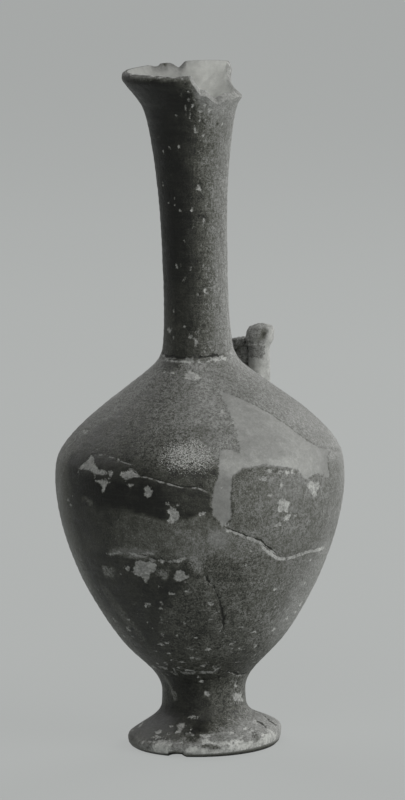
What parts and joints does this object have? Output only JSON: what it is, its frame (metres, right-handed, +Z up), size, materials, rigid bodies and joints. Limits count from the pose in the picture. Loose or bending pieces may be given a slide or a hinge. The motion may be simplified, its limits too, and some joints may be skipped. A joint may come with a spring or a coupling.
{
  "type": "jug",
  "caption": "Wheel-thrown clay jug with a tall narrow neck, flared broken lip, round-bellied body, trumpet foot and the stub of a rolled handle.",
  "frame": {"origin": "centre of the bounding box at the base, under the belly axis, on the standing ring's plane", "axes": "+Z up along the neck, +X to the right of the pictured side, +Y away from the viewer towards the broken handle"},
  "size_m": [0.1052, 0.1052, 0.2478],
  "materials": {
    "fired_clay": "worn dark slip with a low sheen over pale fired clay, chipped and mended"
  },
  "bodies": {
    "root": {"jug": "fired_clay"}
  },
  "joints": []
}
